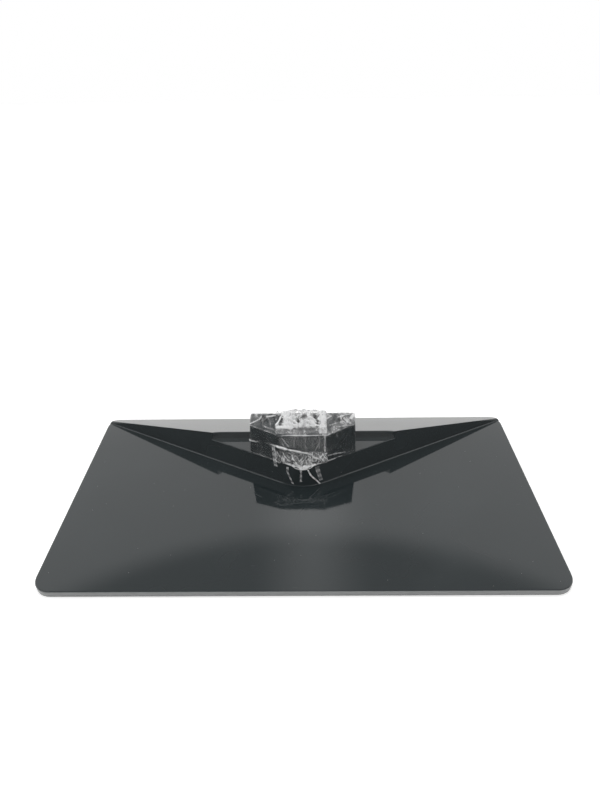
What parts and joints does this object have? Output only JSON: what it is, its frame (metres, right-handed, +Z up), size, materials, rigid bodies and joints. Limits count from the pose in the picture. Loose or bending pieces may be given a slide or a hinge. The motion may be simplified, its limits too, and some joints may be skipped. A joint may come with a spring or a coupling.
{
  "type": "television stand base",
  "caption": "Table-top stand base of a flat television: glossy plate with a chevron riser, a shallow pocket and a short faceted neck that swivels",
  "frame": {"origin": "on the floor under the middle of the plate", "axes": "+X to the right seen from the front, +Y to the rear, +Z up"},
  "size_m": [0.6, 0.32, 0.0947],
  "materials": {
    "gloss_black": "high-gloss black",
    "satin_black": "fine satin black",
    "steel_plate": "black powder coat",
    "plated_steel": "zinc plated",
    "screw_steel": "blackened screws",
    "foot_rubber": "soft black rubber",
    "nylon": "natural nylon",
    "clear_film": "clear stretch film"
  },
  "bodies": {
    "base": {"base_cover": "gloss_black", "base_plate": "steel_plate", "rubber_feet": "foot_rubber", "base_plate_screws": "screw_steel", "swivel_tower": "plated_steel", "tower_screws": "screw_steel", "pivot_bolt": "plated_steel", "lower_friction_washer": "nylon", "upper_friction_washer": "nylon", "disc_spring": "plated_steel", "retaining_washer": "plated_steel", "lock_nut": "plated_steel", "stop_pin": "plated_steel"},
    "neck": {"swivel_disc": "plated_steel", "neck_bracket": "plated_steel", "bracket_screws": "screw_steel", "weld_nuts": "plated_steel", "locating_tongue": "plated_steel", "neck_front_cover": "gloss_black", "neck_rear_cover": "satin_black", "front_cover_screws": "screw_steel", "rear_cover_screws": "screw_steel", "glide_pads": "nylon", "protective_film": "clear_film"}
  },
  "joints": [
    {"name": "neck_swivel", "type": "hinge", "parent": "base", "child": "neck", "pos_m": [0, 0.042, 0.0405], "axis": [0, 0, 1], "range_deg": [-20, 20]}
  ]
}
